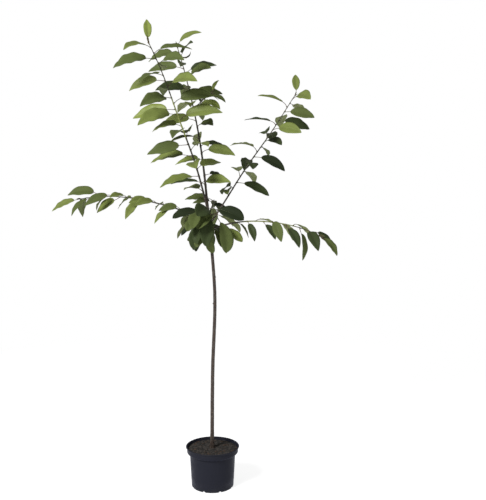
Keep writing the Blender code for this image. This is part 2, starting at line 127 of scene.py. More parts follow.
def newFinish(name, colour, roughness, shine):
    finish = bpy.data.materials.new(name)
    finish.use_nodes = True
    finish.diffuse_color = (*colour, 1)
    shader = finish.node_tree.nodes["Principled BSDF"]
    shader.inputs["Base Color"].default_value = (*colour, 1)
    shader.inputs["Roughness"].default_value = roughness
    shader.inputs["Specular IOR Level"].default_value = shine
    return finish, finish.node_tree, shader.inputs


def addBump(tree, shader, height, distance):
    bump = addNode(tree, "Bump", {"Strength": 1, "Distance": distance, "Height": height})
    fill(tree, shader["Normal"], bump.outputs["Normal"])


# Effects that several finishes share


def makePatches():
    # soft-edged blotches: 1 inside them and 0 outside
    inputs = {"Place": None, "Scale": 40, "Low": 0.45, "High": 0.6}
    group, given, result = newGroup("patches", inputs, ["Mask"])
    cloud = addNode(group, "TexNoise", {"Vector": given["Place"], "Scale": given["Scale"], "Detail": 4})
    edges = (given["Low"], given["High"])
    mask = remap(group, cloud.outputs["Fac"], *edges, interpolation_type="SMOOTHSTEP")
    fill(group, result["Mask"], mask)
    return group


def makeGrain():
    # fine pores with a softer swell under them
    group, given, result = newGroup("grain", {"Place": None, "Scale": 900, "Swell": 0.4}, ["Height"])
    pores = addNode(group, "TexVoronoi", {"Vector": given["Place"], "Scale": given["Scale"]})
    broad = calc(group, "MULTIPLY", given["Scale"], 0.25)
    swell = addNode(group, "TexNoise", {"Vector": given["Place"], "Scale": broad, "Detail": 3})
    swelling = calc(group, "MULTIPLY", swell.outputs["Fac"], given["Swell"])
    fill(group, result["Height"], calc(group, "ADD", pores.outputs["Distance"], swelling))
    return group


def makeVeins():
    # midrib, side veins and net of a blade on its own UV map, where x runs across it and y along it
    inputs = {"Place": None, "Pairs": 10, "Slant": 0.2, "Width": 0.1}
    group, given, result = newGroup("veins", inputs, ["Mask", "Net"])
    parts = addNode(group, "SeparateXYZ", {"Vector": given["Place"]}).outputs
    side = calc(group, "ABSOLUTE", calc(group, "MULTIPLY_ADD", parts["X"], 2, -1))
    climb = calc(group, "SUBTRACT", parts["Y"], calc(group, "MULTIPLY", side, given["Slant"]))
    away = calc(group, "PINGPONG", calc(group, "MULTIPLY", climb, given["Pairs"]), 0.5)
    thin = calc(group, "MULTIPLY", calc(group, "SUBTRACT", 1.2, side), given["Width"])
    vein = calc(group, "SUBTRACT", 1, calc(group, "DIVIDE", away, thin), clamp=True)
    taper = calc(group, "MULTIPLY_ADD", parts["Y"], -0.045, 0.06)
    midrib = calc(group, "SUBTRACT", 1, calc(group, "DIVIDE", side, taper), clamp=True)
    fill(group, result["Mask"], calc(group, "MAXIMUM", vein, midrib))
    values = {"Vector": stretch(group, given["Place"], (27, 78, 1)), "Scale": 1}
    cells = addNode(group, "TexVoronoi", values, feature="DISTANCE_TO_EDGE")
    fill(group, result["Net"], cells.outputs["Distance"])
    return group


patches = makePatches()
grain = makeGrain()
veins = makeVeins()
print("shared effects made")


def objectPlace(tree):
    return addNode(tree, "TexCoord").outputs["Object"]


def attribute(tree, name):
    return addNode(tree, "Attribute", attribute_name=name).outputs["Fac"]


def blotches(tree, place, scale, low, high):
    return placeGroup(tree, patches, {"Place": place, "Scale": scale, "Low": low, "High": high})["Mask"]


def pores(tree, place, scale, swell):
    return placeGroup(tree, grain, {"Place": place, "Scale": scale, "Swell": swell})["Height"]


def speckledFinish(name, colours, look, depth):
    # two colours in soft blotches, over fine pores
    finish, tree, shader = newFinish(name, colours[0], look["roughness"], look["shine"])
    place = objectPlace(tree)
    fill(tree, shader["Base Color"], mixColours(tree, blotches(tree, place, *look["blotches"]), *colours))
    addBump(tree, shader, pores(tree, place, *look["pores"]), depth)
    return finish


# Mesh helpers


def between(a, b, share):
    return a + (b - a) * share


def easeIn(value, low, high):
    share = min(max((value - low) / (high - low), 0), 1)
    return share * share * (3 - 2 * share)


def linkObject(name, data):
    made = bpy.data.objects.new(name, data)
    bpy.context.scene.collection.objects.link(made)
    return made


def finishMesh(name, shape):
    mesh = bpy.data.meshes.new(name)
    shape.to_mesh(mesh)
    shape.free()
    return mesh


def applyModifiers(rough):
    return bpy.data.meshes.new_from_object(rough.evaluated_get(bpy.context.evaluated_depsgraph_get()))


def dressPiece(name, mesh, finishes, replaced=()):
    mesh.shade_smooth()
    for finish in finishes:
        mesh.materials.append(finish)
    piece = linkObject(name, mesh)
    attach(piece, "root")
    if replaced:
        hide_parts(*replaced)
    return piece


def newPiece(name, shape, finishes, replaced=()):
    return dressPiece(name, finishMesh(name, shape), finishes, replaced)


def paintFaces(verts, finish):
    for face in {face for vert in verts for face in vert.link_faces}:
        face.material_index = finish


def sweepTube(shape, points, radii, sides, finish=0):
    # a grid wrapped round a line of points, with its seam merged and its ends filled
    rows = len(points) - 1
    made = bmesh.ops.create_grid(shape, x_segments=sides, y_segments=rows, size=1, calc_uvs=True)["verts"]
    across = Vector((1, 0, 0))
    for row, point in enumerate(points):
        way = (points[min(row + 1, rows)] - points[max(row - 1, 0)]).normalized()
        across = (across - way * across.dot(way)).normalized()
        other = way.cross(across)
        for column in range(sides + 1):
            turn = math.tau * (column % sides) / sides
            out = across * math.cos(turn) + other * math.sin(turn)
            made[row * (sides + 1) + column].co = point + out * radii[row]
    faces = list({face for vert in made for face in vert.link_faces})
    seam = [vert for order, vert in enumerate(made) if order % (sides + 1) in (0, sides)]
    bmesh.ops.remove_doubles(shape, verts=seam, dist=0.000001)
    rims = [edge for edge in {edge for face in faces for edge in face.edges} if edge.is_boundary]
    bmesh.ops.holes_fill(shape, edges=rims, sides=0)
    left = [vert for vert in made if vert.is_valid]
    paintFaces(left, finish)
    return left


def smoothLine(points, count):
    # a curve through a few points
    last = len(points) - 1
    line = []
    for i in range(count + 1):
        place = i / count * last
        low = min(int(place), last - 1)
        t = place - low
        before, start = points[max(low - 1, 0)], points[low]
        end, after = points[low + 1], points[min(low + 2, last)]
        first = (end - before) * t
        second = (2 * before - 5 * start + 4 * end - after) * t**2
        third = (3 * start - before - 3 * end + after) * t**3
        line.append((2 * start + first + second + third) / 2)
    return line


# How the tree grows: the same rule and the same seeds as its solids

growth = {
    "soilLevel": 0.170,
    "forkHeight": 1.237,
    "crownFoot": 1.0,
    "trunkRadius": (0.0088, 0.0064),
    "flare": (0.0050, 0.018),  # how far the root flare stands out, and how fast it fades upwards
    "trunkBends": (  # share of the height, then the offset towards +X and +Y
        (0.00, -0.002, 0.000),
        (0.33, 0.002, 0.004),
        (0.62, 0.013, -0.003),
        (0.82, 0.001, 0.002),
        (1.00, -0.017, 0.000),
    ),
    "collar": (0.0008, 0.012),
    "sway": (2.5, 15),
    "firstBend": 0.05,
    "pathStep": 0.008,
    "leafClearance": 0.0115,
    "stemClearance": 0.0110,
    "petioleShare": 0.27,
    "leafArch": (22, 48),
    "leafSlimness": (0.172, 0.210),
    "sizeSpread": (0.84, 1.08),
    "droopSpread": (0.10, 0.75),
    "stalkSpread": (0.85, 1.15),
    "turnSpread": 23,
    "openSpread": 10,
    "azimuthSpread": 14,
    "twistSpread": 16,
    "midribSteps": 6,
    "whorl": math.radians(137.5),
    "tries": 20,
    "firstNode": 0.018,
    "lastNode": 0.002,
    "spurLength": 0.1,  # a shorter shoot is a spur
}


def spur(facing, droop, tip, **own):
    # a short shoot with leaves from its foot on, and tip is the rise, roll and length of its last leaf
    shared = dict(azimuth=(facing, facing), droop=(droop, droop), top=(facing, *tip), bare=0, broad=1.5)
    return dict(radius=(0.0024, 0.0017), roll=34, open=64) | shared | own


# Pairs of values hold at a limb's foot and at its tip. The bare stretch is its bough. Each leaf
# takes one of the tints by chance, and deal is the seed of that. The tints hold painted light
# and shade as well as the leaves' own tone.
limbs = {
    "left_leader": dict(
        height=growth["forkHeight"] - 0.014, azimuth=(-138, -158), rise=(71, 65), length=0.728, bare=0.062,
        radius=(0.0046, 0.0016), seeds=(4027, 860, 3087, 798), leaves=26, leaf=(0.152, 0.142), open=64,
        droop=(4, 4), roll=26, lean=42, top=(104, 86, 0, 0.088), broad=1.0,
        tints=("sunny", "fresh", "fresh", "shade", "fresh", "shade"), deal=3865,
    ),
    "right_leader": dict(
        height=growth["forkHeight"], azimuth=(112, 150), rise=(77, 69), length=0.715, bare=0.075,
        radius=(0.0056, 0.0016), seeds=(2754, 3054, 1582, 3662), leaves=23, leaf=(0.130, 0.124), open=64,
        droop=(18, -14), roll=32, lean=36, top=(-5, 42, 40, 0.105), broad=1.0,
        tints=("fresh", "shade", "shade", "sunny", "shade", "cool"), deal=2620,
    ),
    "diagonal": dict(
        height=1.160, azimuth=(24, 14), rise=(54, 55), length=0.685, bare=0.132,
        radius=(0.0040, 0.0015), seeds=(772, 3381, 15, 2434), leaves=22, leaf=(0.128, 0.122), open=62,
        droop=(18, 6), roll=38, lean=42, top=(96, 78, 0, 0.078), broad=1.15,
        tints=("fresh", "shade", "cool", "deep", "shade", "fresh"), deal=3932,
    ),
    "left_arm": dict(
        height=1.170, azimuth=(172, 172), rise=(25, -9), length=0.590, bare=0.072,
        radius=(0.0039, 0.0014), seeds=(4165, 699, 1972), leaves=16, leaf=(0.084, 0.116), open=50,
        droop=(34, 44), roll=32, lean=38, top=(188, -12, -38, 0.110), broad=1.0,
        tints=("fresh", "shade", "shade"), deal=633,
    ),
    "right_arm": dict(
        height=1.138, azimuth=(-17, -17), rise=(19, -27), length=0.490, bare=0.110,
        radius=(0.0038, 0.0014), seeds=(2241, 1965), leaves=12, leaf=(0.080, 0.116), open=54,
        droop=(44, 96), roll=34, lean=32, top=(-17, -30, 32, 0.092), broad=1.1,
        tints=("shade", "fresh", "cool", "deep", "shade"), deal=5170,
    ),
    "spur_front_right": spur(
        -48, 74, (-25, 20, 0.082), height=1.196, rise=(20, 0), length=0.060, radius=(0.0026, 0.0018),
        seeds=(146,), leaves=7, leaf=(0.128, 0.124), open=70, lean=28,
        tints=("shade", "cool", "deep", "cool", "fresh"), deal=427,
    ),
    "spur_front_left": spur(
        -128, 74, (-25, -20, 0.082), height=1.192, rise=(15, 0), length=0.060, radius=(0.0026, 0.0018),
        seeds=(1930,), leaves=7, leaf=(0.114, 0.116), open=66, lean=28,
        tints=("shade", "cool", "fresh", "cool", "deep"), deal=1,
    ),
    "spur_front_low": spur(
        -88, 84, (-50, 0, 0.062), height=1.134, rise=(10, -10), length=0.045, seeds=(425,),
        leaves=6, leaf=(0.086, 0.088), open=66, lean=24, tints=("shade", "cool", "shade"), deal=1,
    ),
    "spur_left": spur(
        -165, 66, (-35, -25, 0.076), height=1.150, rise=(10, -5), length=0.050, seeds=(901,),
        leaves=6, leaf=(0.110, 0.108), roll=32, lean=28, tints=("fresh", "deep", "shade"), deal=41,
    ),
    "spur_right": spur(
        -12, 76, (-40, 25, 0.066), height=1.124, rise=(5, -8), length=0.045, seeds=(1105,),
        leaves=6, leaf=(0.094, 0.094), roll=32, lean=28, tints=("fresh", "shade", "cool"), deal=4,
    ),
    "back_shoot": dict(
        height=1.186, azimuth=(84, 92), rise=(24, 4), length=0.260, bare=0,
        radius=(0.0034, 0.0015), seeds=(422,), leaves=11, leaf=(0.112, 0.104), open=60,
        droop=(48, 44), roll=34, lean=20, top=(92, -10, 0, 0.074), broad=1.0,
        tints=("cool", "deep", "shade", "deep"), deal=1281,
    ),
    "spur_back_low": spur(
        128, 64, (-35, -10, 0.074), height=1.140, rise=(10, -8), length=0.050, seeds=(1201,),
        leaves=6, leaf=(0.108, 0.104), roll=32, lean=20, tints=("cool", "deep", "shade"), deal=533,
    ),
}
sideTwig = dict(
    parent="right_leader", at=0.430, azimuth=(-12, 8), rise=(44, 34), length=0.105, bare=0.006,
    radius=(0.0018, 0.0011), seeds=(195,), leaves=8, leaf=(0.062, 0.066), open=60,
    droop=(14, 4), roll=34, lean=34, top=(20, 80, 30, 0.052), broad=1.1,
    tints=("fresh", "sunny", "shade", "cool", "deep"), deal=899,
)


def heading(azimuth, rise):
    a, r = math.radians(azimuth), math.radians(rise)
    return Vector((math.cos(r) * math.cos(a), math.cos(r) * math.sin(a), math.sin(r)))


def trunkPoint(height):
    # the stem strays from the pot's axis on a smooth curve through its bends
    bends = growth["trunkBends"]
    share = (height - growth["soilLevel"]) / (growth["forkHeight"] - growth["soilLevel"])
    last = len(bends) - 1
    span = next((i for i in range(last) if share <= bends[i + 1][0]), last - 1)
    before, low, high, after = (bends[min(max(i, 0), last)] for i in range(span - 1, span + 3))
    width = high[0] - low[0]
    t = (share - low[0]) / width
    offset = []
    for axis in (1, 2):
        slopeLow = (high[axis] - before[axis]) / (high[0] - before[0])
        slopeHigh = (after[axis] - low[axis]) / (after[0] - low[0])
        offset.append(
            (2 * t**3 - 3 * t**2 + 1) * low[axis]
            + (t**3 - 2 * t**2 + t) * width * slopeLow
            + (3 * t**2 - 2 * t**3) * high[axis]
            + (t**3 - t**2) * width * slopeHigh
        )
    return Vector((*offset, height))


def trunkRadius(height):
    above = height - growth["soilLevel"]
    stands, fades = growth["flare"]
    return between(*growth["trunkRadius"], above / (growth["forkHeight"] - growth["soilLevel"])) + (
        stands * math.exp(-max(above, 0) / fades)
    )


def shootPath(shoot, start, firstWay=None):
    count = round(shoot["length"] / growth["pathStep"])
    step = shoot["length"] / count
    swing, rate = growth["sway"]
    point = start.copy()
    path = [start.copy()]
    for i in range(count):
        t = (i + 0.5) / count
        sway = swing * math.sin(rate * t * shoot["length"] + shoot["azimuth"][0])
        azimuth = between(*shoot["azimuth"], t) + sway
        way = heading(azimuth, between(*shoot["rise"], t**1.2) + 0.6 * sway)
        if firstWay:
            way = firstWay.lerp(way, min(1.0, (i + 1) * step / growth["firstBend"])).normalized()
        point = point + way * step
        path.append(point.copy())
    return path


def limbPath(limb):
    start = trunkPoint(limb["height"])
    if limb["height"] < growth["forkHeight"]:
        return shootPath(limb, start)
    topWay = (trunkPoint(growth["forkHeight"]) - trunkPoint(growth["forkHeight"] - 0.02)).normalized()
    return shootPath(limb, start, topWay)


def limbRadius(limb, distance):
    swell, fades = growth["collar"]
    return between(*limb["radius"], (distance / limb["length"]) ** 0.8) + swell * math.exp(-distance / fades)


def atDistance(path, distance):
    step = (path[1] - path[0]).length
    place = min(max(distance / step, 0), len(path) - 1.001)
    i = int(place)
    return path[i].lerp(path[i + 1], place - i), (path[i + 1] - path[i]).normalized()


def leafHalfWidth(share, leaf):
    # a long taper to a pointed tip, and a broad leaf is widest past its middle
    place = share ** (0.85 * leaf["broad"])
    body = (4 * place * (1 - place)) ** 0.6
    fade = min(max((share - 0.5) / 0.5, 0), 1)
    return leaf["halfWidth"] * body * (1 - 0.5 * fade * fade * (3 - 2 * fade) / leaf["broad"] ** 3)


def leafLine(leaf, share):
    # the midrib's point and direction, and the blade's sideways direction
    point = leaf["foot"].copy()
    step = share / growth["midribSteps"]
    for i in range(growth["midribSteps"]):
        t = (i + 0.5) * step
        way = heading(leaf["azimuth"] + leaf["twist"] * t, leaf["rise"] - leaf["arch"] * t)
        point += way * leaf["length"] * step
    azimuth = math.radians(leaf["azimuth"] + leaf["twist"] * share)
    level = Vector((math.sin(azimuth), -math.cos(azimuth), 0))
    return point, way, Matrix.Rotation(math.radians(leaf["roll"]), 3, way) @ level


def leafSamples(leaf):
    points = []
    for i in range(8):
        share = 0.04 + 0.96 * i / 7
        point, _, across = leafLine(leaf, share)
        width = leafHalfWidth(min(share, 0.97), leaf)
        points += [point + across * width * side for side in (-0.95, -0.5, 0, 0.5, 0.95)]
    return numpy.array(points)


def leafTry(shoot, path, order, firstTurn, draw):
    def spread(name):
        return draw.uniform(-growth[name], growth[name])

    share = (order / (shoot["leaves"] - 1)) ** 0.88
    distance = between(shoot["bare"] + growth["firstNode"], shoot["length"] - growth["lastNode"], share)
    node, along = atDistance(path, distance)
    side = along.cross(Vector((0, 0, 1))).normalized()
    up = side.cross(along)
    turn = firstTurn + order * growth["whorl"] + math.radians(spread("turnSpread"))
    out = side * math.cos(turn) + up * math.sin(turn)
    opening = math.radians(shoot["open"] + spread("openSpread"))
    way = (out * math.sin(opening) + along * math.cos(opening)).normalized()
    azimuth = math.degrees(math.atan2(way.y, way.x)) + spread("azimuthSpread")
    rise = math.degrees(math.asin(way.z))
    size = between(*shoot["leaf"], share) * draw.uniform(*growth["sizeSpread"])
    droop = between(*shoot["droop"], share**2)
    bladeRise = min(0.45 * rise, 30) - droop * draw.uniform(*growth["droopSpread"])
    stalkShare = growth["petioleShare"] * draw.uniform(*growth["stalkSpread"])
    arch = draw.uniform(*growth["leafArch"])
    twist = spread("twistSpread")
    roll = shoot["lean"] * math.cos(math.radians(azimuth)) + shoot["roll"] * draw.uniform(-1, 1)
    slimness = draw.uniform(*growth["leafSlimness"]) * shoot["broad"] ** 0.5
    if order == shoot["leaves"] - 1:
        azimuth, bladeRise, roll, size = shoot["top"]
        way = (along + heading(azimuth, bladeRise)).normalized()
    petiole = size * stalkShare
    bend = way.lerp(heading(azimuth, bladeRise), 0.6).normalized()
    elbow = node + way * petiole * 0.5
    return {
        "node": node,
        "distance": distance,
        "along": along,
        "out": out,
        "elbow": elbow,
        "foot": elbow + bend * petiole * 0.5,
        "azimuth": azimuth,
        "rise": bladeRise,
        "arch": arch,
        "twist": twist,
        "roll": roll,
        "length": size,
        "halfWidth": size * slimness,
        "broad": shoot["broad"],
    }


def crowded(spots, others, clearance):
    inside = (others > spots.min(axis=0) - clearance) & (others < spots.max(axis=0) + clearance)
    near = others[inside.all(axis=1)]
    if not len(near):
        return False
    return ((spots[:, None] - near[None]) ** 2).sum(axis=2).min() < clearance**2


def growStretch(shoot, path, orders, seed, grown, stems):
    # a leaf that can't keep clear of its neighbours is skipped
    draw = random.Random(seed)
    firstTurn = draw.uniform(0, math.tau)
    leaves = []
    for order in orders:
        for _ in range(growth["tries"]):
            leaf = leafTry(shoot, path, order, firstTurn, draw)
            spots = leafSamples(leaf)
            if crowded(spots, stems, growth["stemClearance"]):
                continue
            spots = numpy.concatenate([spots, [leaf["elbow"], leaf["foot"]]])
            if grown and crowded(spots, numpy.concatenate(grown), growth["leafClearance"]):
                continue
            leaves.append(leaf)
            grown.append(spots)
            break
    return leaves


def growLeaves(shoot, path, grown, stems):
    # a shoot has as many stretches as it has seeds
    count, stretches = shoot["leaves"], len(shoot["seeds"])
    leaves = []
    for i, seed in enumerate(shoot["seeds"]):
        orders = range(i * count // stretches, (i + 1) * count // stretches)
        leaves += growStretch(shoot, path, orders, seed, grown, stems)
    return leaves


def growTree():
    shoots = {}
    paths = {}
    for name, limb in limbs.items():
        shoots[name] = limb
        paths[name] = limbPath(limb)
        if name == sideTwig["parent"]:
            shoots["side_twig"] = sideTwig
            paths["side_twig"] = shootPath(sideTwig, atDistance(paths[name], sideTwig["at"])[0])
    stems = [point for path in paths.values() for point in path[1:]]
    foot, fork = growth["crownFoot"], growth["forkHeight"]
    count = round((fork - foot) / growth["pathStep"])
    stems += [trunkPoint(between(foot, fork, i / count)) for i in range(count + 1)]
    stems = numpy.array(stems)
    grown = []
    leaves = {name: growLeaves(shoot, paths[name], grown, stems) for name, shoot in shoots.items()}
    return shoots, paths, leaves


shoots, paths, leaves = growTree()
print("tree grown,", sum(len(found) for found in leaves.values()), "leaves")

# Young leaves that are still unfolding at the shoots' tips

sproutLook = {
    "count": 3,
    "length": (0.013, 0.027),
    "slim": 0.17,  # half its width as a share of its length
    "spacing": 0.006,
    "opening": (12, 38),
    # the hooked one
    "curled": dict(distance=0.662, azimuth=4, rise=-24, arch=-116, length=0.052, roll=62, slim=0.075),
}


def addSprout(path, distance, azimuth, rise, arch, length, roll, slim):
    node, along = atDistance(path, distance)
    way = heading(azimuth, rise)
    foot = node + (along + way).normalized() * length * 0.16
    return {
        "node": node, "elbow": node.lerp(foot, 0.5), "foot": foot, "azimuth": azimuth, "rise": rise,
        "arch": arch, "twist": 0, "roll": roll, "length": length, "broad": 1.0,
        "halfWidth": length * slim,
    }


def growSprouts():
    draw = random.Random(29)
    found = {name: [] for name in shoots}
    for name, shoot in shoots.items():
        if shoot["length"] < growth["spurLength"]:
            continue
        azimuth, rise = shoot["azimuth"][1], shoot["rise"][1]
        for i in range(sproutLook["count"]):
            turned = 120 * i + draw.uniform(-30, 30)
            opening = draw.uniform(*sproutLook["opening"])
            aside = opening * math.cos(math.radians(turned)) / math.cos(math.radians(rise))
            up = rise + opening * math.sin(math.radians(turned))
            length = draw.uniform(*sproutLook["length"])
            arch = draw.uniform(-10, 40)
            distance = shoot["length"] - sproutLook["spacing"] * i
            pose = (azimuth + aside, up, arch, length, turned, sproutLook["slim"])
            found[name].append(addSprout(paths[name], distance, *pose))
    curled = sproutLook["curled"]
    found["right_leader"].append(addSprout(paths["right_leader"], **curled))
    return found


sprouts = growSprouts()

# Leaf blades

leafLook = {
    "rows": 56,
    "columns": 8,
    "thickness": 0.00042,
    "pairs": 10,  # side veins on each half of the blade
    "slant": 0.20,
    "pleat": 0.00042,  # how far the blade swells between two veins
    "tooth": 0.0008,
    "ripple": (0.0006, 0.0018),
    "waves": (2.0, 3.6),
    "fold": (0.20, 0.32),
    "camber": (0.10, 0.30),
    # Each tint is a lighter or darker copy of the leaf's green: partly its own tone, and partly painted light
    # and shade, lighter for leaves in sun and darker for leaves in shadow
    "tints": {  # the upper side, the underside, and how much both shine
        "sunny": ((0.174, 0.214, 0.046), (0.208, 0.240, 0.098), 0.09),
        "fresh": ((0.142, 0.176, 0.042), (0.185, 0.214, 0.088), 0.08),
        "shade": ((0.079, 0.102, 0.028), (0.120, 0.148, 0.058), 0.04),
        "cool": ((0.035, 0.050, 0.016), (0.064, 0.083, 0.034), 0.03),
        "deep": ((0.015, 0.023, 0.008), (0.034, 0.046, 0.018), 0.02),
        "young": ((0.058, 0.056, 0.020), (0.072, 0.074, 0.032), 0.10),
    },
}


def makeLeafFinish(name, colour, veinColour, roughness, shine, veinHeight):
    finish, tree, shader = newFinish(name, colour, roughness, shine)
    place = addNode(tree, "TexCoord").outputs
    values = {"Place": place["UV"], "Pairs": leafLook["pairs"], "Slant": leafLook["slant"]}
    lines = placeGroup(tree, veins, values)
    blotch = blotches(tree, place["Object"], 32, 0.35, 0.7)
    tone = mixColours(tree, blotch, colour, [part * 0.80 for part in colour])
    pale = calc(tree, "MULTIPLY", lines["Mask"], 0.4)
    fill(tree, shader["Base Color"], mixColours(tree, pale, tone, veinColour))
    fill(tree, shader["Roughness"], calc(tree, "MULTIPLY_ADD", blotch, 0.13, roughness - 0.05))
    netted = calc(tree, "MULTIPLY", calc(tree, "MINIMUM", lines["Net"], 0.12), 2.5)
    height = calc(tree, "MULTIPLY_ADD", lines["Mask"], veinHeight, netted)
    addBump(tree, shader, height, 0.00022)
    return finish


def addBlade(shape, leaf, draw, finish):
    rows, columns = leafLook["rows"], leafLook["columns"]
    made = bmesh.ops.create_grid(shape, x_segments=columns, y_segments=rows, size=1, calc_uvs=True)["verts"]
    fold = draw.uniform(*leafLook["fold"])
    ripple = draw.uniform(*leafLook["ripple"]) * leaf["length"] / 0.12
    waves = draw.uniform(*leafLook["waves"])
    phase = draw.uniform(0, math.tau)
    camber = draw.uniform(*leafLook["camber"])
    for row in range(rows + 1):
        share = row / rows
        point, way, across = leafLine(leaf, share)
        up = across.cross(way)
        width = leafHalfWidth(share, leaf) * (1 - 0.18 * easeIn(share, 0.88, 1.0))
        width = max(width, between(0.0010, 0.0004, share))
        body = min(width / 0.012, 1)
        toothed = row % 2 == 1 and 2 < row < rows - 1
        for column in range(columns + 1):
            u = 2 * column / columns - 1
            side = abs(u)
            lift = width * (fold * side + camber * (side - side * side))
            swell = abs(math.sin(math.pi * (share - leafLook["slant"] * side) * leafLook["pairs"])) - 0.6
            lift += leafLook["pleat"] * body * swell * min(side * 5, 1) * (1 - side**6)
            wave = math.sin(math.tau * waves * share + phase + (1.4 if u > 0 else 0))
            lift += ripple * body * side**3 * wave
            spot = point + across * (width * u) + up * lift
            if toothed and side == 1:
                spot += (across * u + way * 0.8) * leafLook["tooth"] * body
            made[row * (columns + 1) + column].co = spot
    paintFaces(made, finish)


def makeBlades():
    finishes = {}
    for tint, (upper, under, shine) in leafLook["tints"].items():
        pale = [part * 1.35 + 0.02 for part in upper]
        raised = [part * 1.25 for part in under]
        finishes[tint] = (
            makeLeafFinish("leafUpper_" + tint, upper, pale, 0.40, shine, -0.9),
            makeLeafFinish("leafUnder_" + tint, under, raised, 0.60, shine, 1.2),
        )
    draw = random.Random(41)
    for name in limbs:
        parts = [name, "side_twig"] if name == sideTwig["parent"] else [name]
        used = sorted({"young"} | {tint for part in parts for tint in shoots[part]["tints"]})
        shape = bmesh.new()
        for part in parts:
            deal = random.Random(shoots[part]["deal"])
            for order, leaf in enumerate(leaves[part], 1):
                # the tint brings painted light or shade along with the leaf's own tone
                tint = deal.choice(shoots[part]["tints"])
                if order == len(leaves[part]):
                    tint = shoots[part]["tints"][0]
                addBlade(shape, leaf, draw, used.index(tint))
            for leaf in sprouts[part]:
                addBlade(shape, leaf, draw, used.index("young"))
        finishList = [finishes[tint][0] for tint in used] + [finishes[tint][1] for tint in used]
        words = "".join(word.capitalize() for word in name.split("_"))
        piece = newPiece("leaves" + words, shape, finishList, ["foliage_" + name])
        shell = piece.modifiers.new("thickness", "SOLIDIFY")
        shell.thickness = leafLook["thickness"]
        shell.offset = -1
        shell.material_offset = len(used)


makeBlades()
print("leaf blades made")

# Leaf stalks with their midribs, and the two small glands at the top of each stalk

stalkLook = {
    "radius": (0.00150, 0.00120, 0.00030),  # at the shoot, at the blade, and where the midrib ends
    "cushion": 0.0006,  # how much thicker the stalk is right at the shoot
    "sides": 8,
    "stalkSteps": 12,
    "midribSteps": 14,
    "midribEnd": 0.80,
    "glandRadius": 0.0007,
    "redShare": 0.55,
    "green": (0.090, 0.092, 0.034),
    "red": (0.078, 0.042, 0.026),
    "gland": (0.085, 0.022, 0.014),
    "skin": dict(roughness=0.42, shine=0.45, blotches=(120, 0.4, 0.65), pores=(1800, 0.6)),
}


def makeStalks():
    shape = bmesh.new()
    draw = random.Random(7)
    thick, middle, thin = stalkLook["radius"]
    stalkSteps, midribSteps = stalkLook["stalkSteps"], stalkLook["midribSteps"]
    for name, found in leaves.items():
        for leaf in found + sprouts[name]:
            line = smoothLine([leaf["node"], leaf["elbow"], leaf["foot"]], stalkSteps)
            slim = min(1, 0.4 + leaf["length"] / 0.14)
            radii = []
            for i in range(stalkSteps + 1):
                cushion = stalkLook["cushion"] * math.exp(-i / 1.5)
                radii.append(slim * (between(thick, middle, min(i / 10, 1)) + cushion))
            for i in range(1, midribSteps + 1):
                share = stalkLook["midribEnd"] * i / midribSteps
                point, way, across = leafLine(leaf, share)
                radius = slim * between(middle, thin, share**0.6)
                line.append(point - across.cross(way) * (0.0002 + radius * 0.45))
                radii.append(radius)
            red = draw.random() < stalkLook["redShare"]
            sweepTube(shape, line, radii, stalkLook["sides"], 1 if red else 0)
            _, way, across = leafLine(leaf, 0)
            for side in (-1, 1):
                spot = leaf["foot"] - way * draw.uniform(0.001, 0.003) + across * side * 0.0012
                size = Matrix.Diagonal((*[stalkLook["glandRadius"]] * 3, 1))
                place = Matrix.Translation(spot) @ size
                gland = bmesh.ops.create_icosphere(shape, subdivisions=1, radius=1, matrix=place)
                paintFaces(gland["verts"], 2)
    bmesh.ops.recalc_face_normals(shape, faces=shape.faces[:])
    finishes = []
    for name in ("green", "red", "gland"):
        darker = [part * 0.7 for part in stalkLook[name]]
        colours = (stalkLook[name], darker)
        finishes.append(speckledFinish("stalk_" + name, colours, stalkLook["skin"], 0.00008))
    newPiece("leafStalks", shape, finishes)


makeStalks()
print("leaf stalks made")

# This year's shoots, with their nodes and buds

shootLook = {
    "sides": 12,
    "ring": 0.0025,
    "overlap": 0.009,  # how far a shoot starts inside its bough
    "cushion": (0.0007, 0.0035),
    "scaleRings": (0.00025, 0.0024, 0.006),  # height and spacing of old bud scales' rings, and their end
    "bud": (0.0014, 0.0031),
    "budPlace": (0.0042, 0.0009),  # how far past the leaf's foot, and how far off the skin
    "freshFade": 0.04,
    "old": (0.026, 0.021, 0.013),
    "middle": (0.030, 0.030, 0.014),
    "tip": (0.052, 0.055, 0.022),
    "fresh": (0.330, 0.370, 0.095),
    "freshStretches": {  # from where, to where, and how much
        "left_leader": (0.31, 0.51, 1.0),
        "right_arm": (0.13, 0.40, 0.42),
    },
    "speck": (0.160, 0.135, 0.095),
    "budColour": (0.075, 0.036, 0.020),
}


def makeShootFinish():
    # brown and woody at the foot, olive and then green towards the tip
    finish, tree, shader = newFinish("youngBark", shootLook["middle"], 0.42, 0.3)
    place = objectPlace(tree)
    uneven = calc(tree, "MULTIPLY_ADD", blotches(tree, place, 60, 0.3, 0.75), 0.22, -0.11)
    aged = calc(tree, "ADD", attribute(tree, "age"), uneven)
    skin = mixColours(tree, remap(tree, aged, 0.15, 0.55), shootLook["old"], shootLook["middle"])
    skin = mixColours(tree, remap(tree, aged, 0.55, 0.98), skin, shootLook["tip"])
    skin = mixColours(tree, attribute(tree, "freshness"), skin, shootLook["fresh"])
    speck = blotches(tree, place, 420, 0.66, 0.70)
    fill(tree, shader["Base Color"], mixColours(tree, speck, skin, shootLook["speck"]))
    height = calc(tree, "ADD", calc(tree, "MULTIPLY", speck, 0.8), pores(tree, place, 1500, 1.0))
    addBump(tree, shader, height, 0.00012)
    return finish


def makeBudFinish():
    finish, tree, shader = newFinish("budScales", shootLook["budColour"], 0.40, 0.5)
    scales = blotches(tree, objectPlace(tree), 500, 0.42, 0.6)
    paler = [part * 1.9 for part in shootLook["budColour"]]
    fill(tree, shader["Base Color"], mixColours(tree, scales, shootLook["budColour"], paler))
    addBump(tree, shader, scales, 0.00012)
    return finish


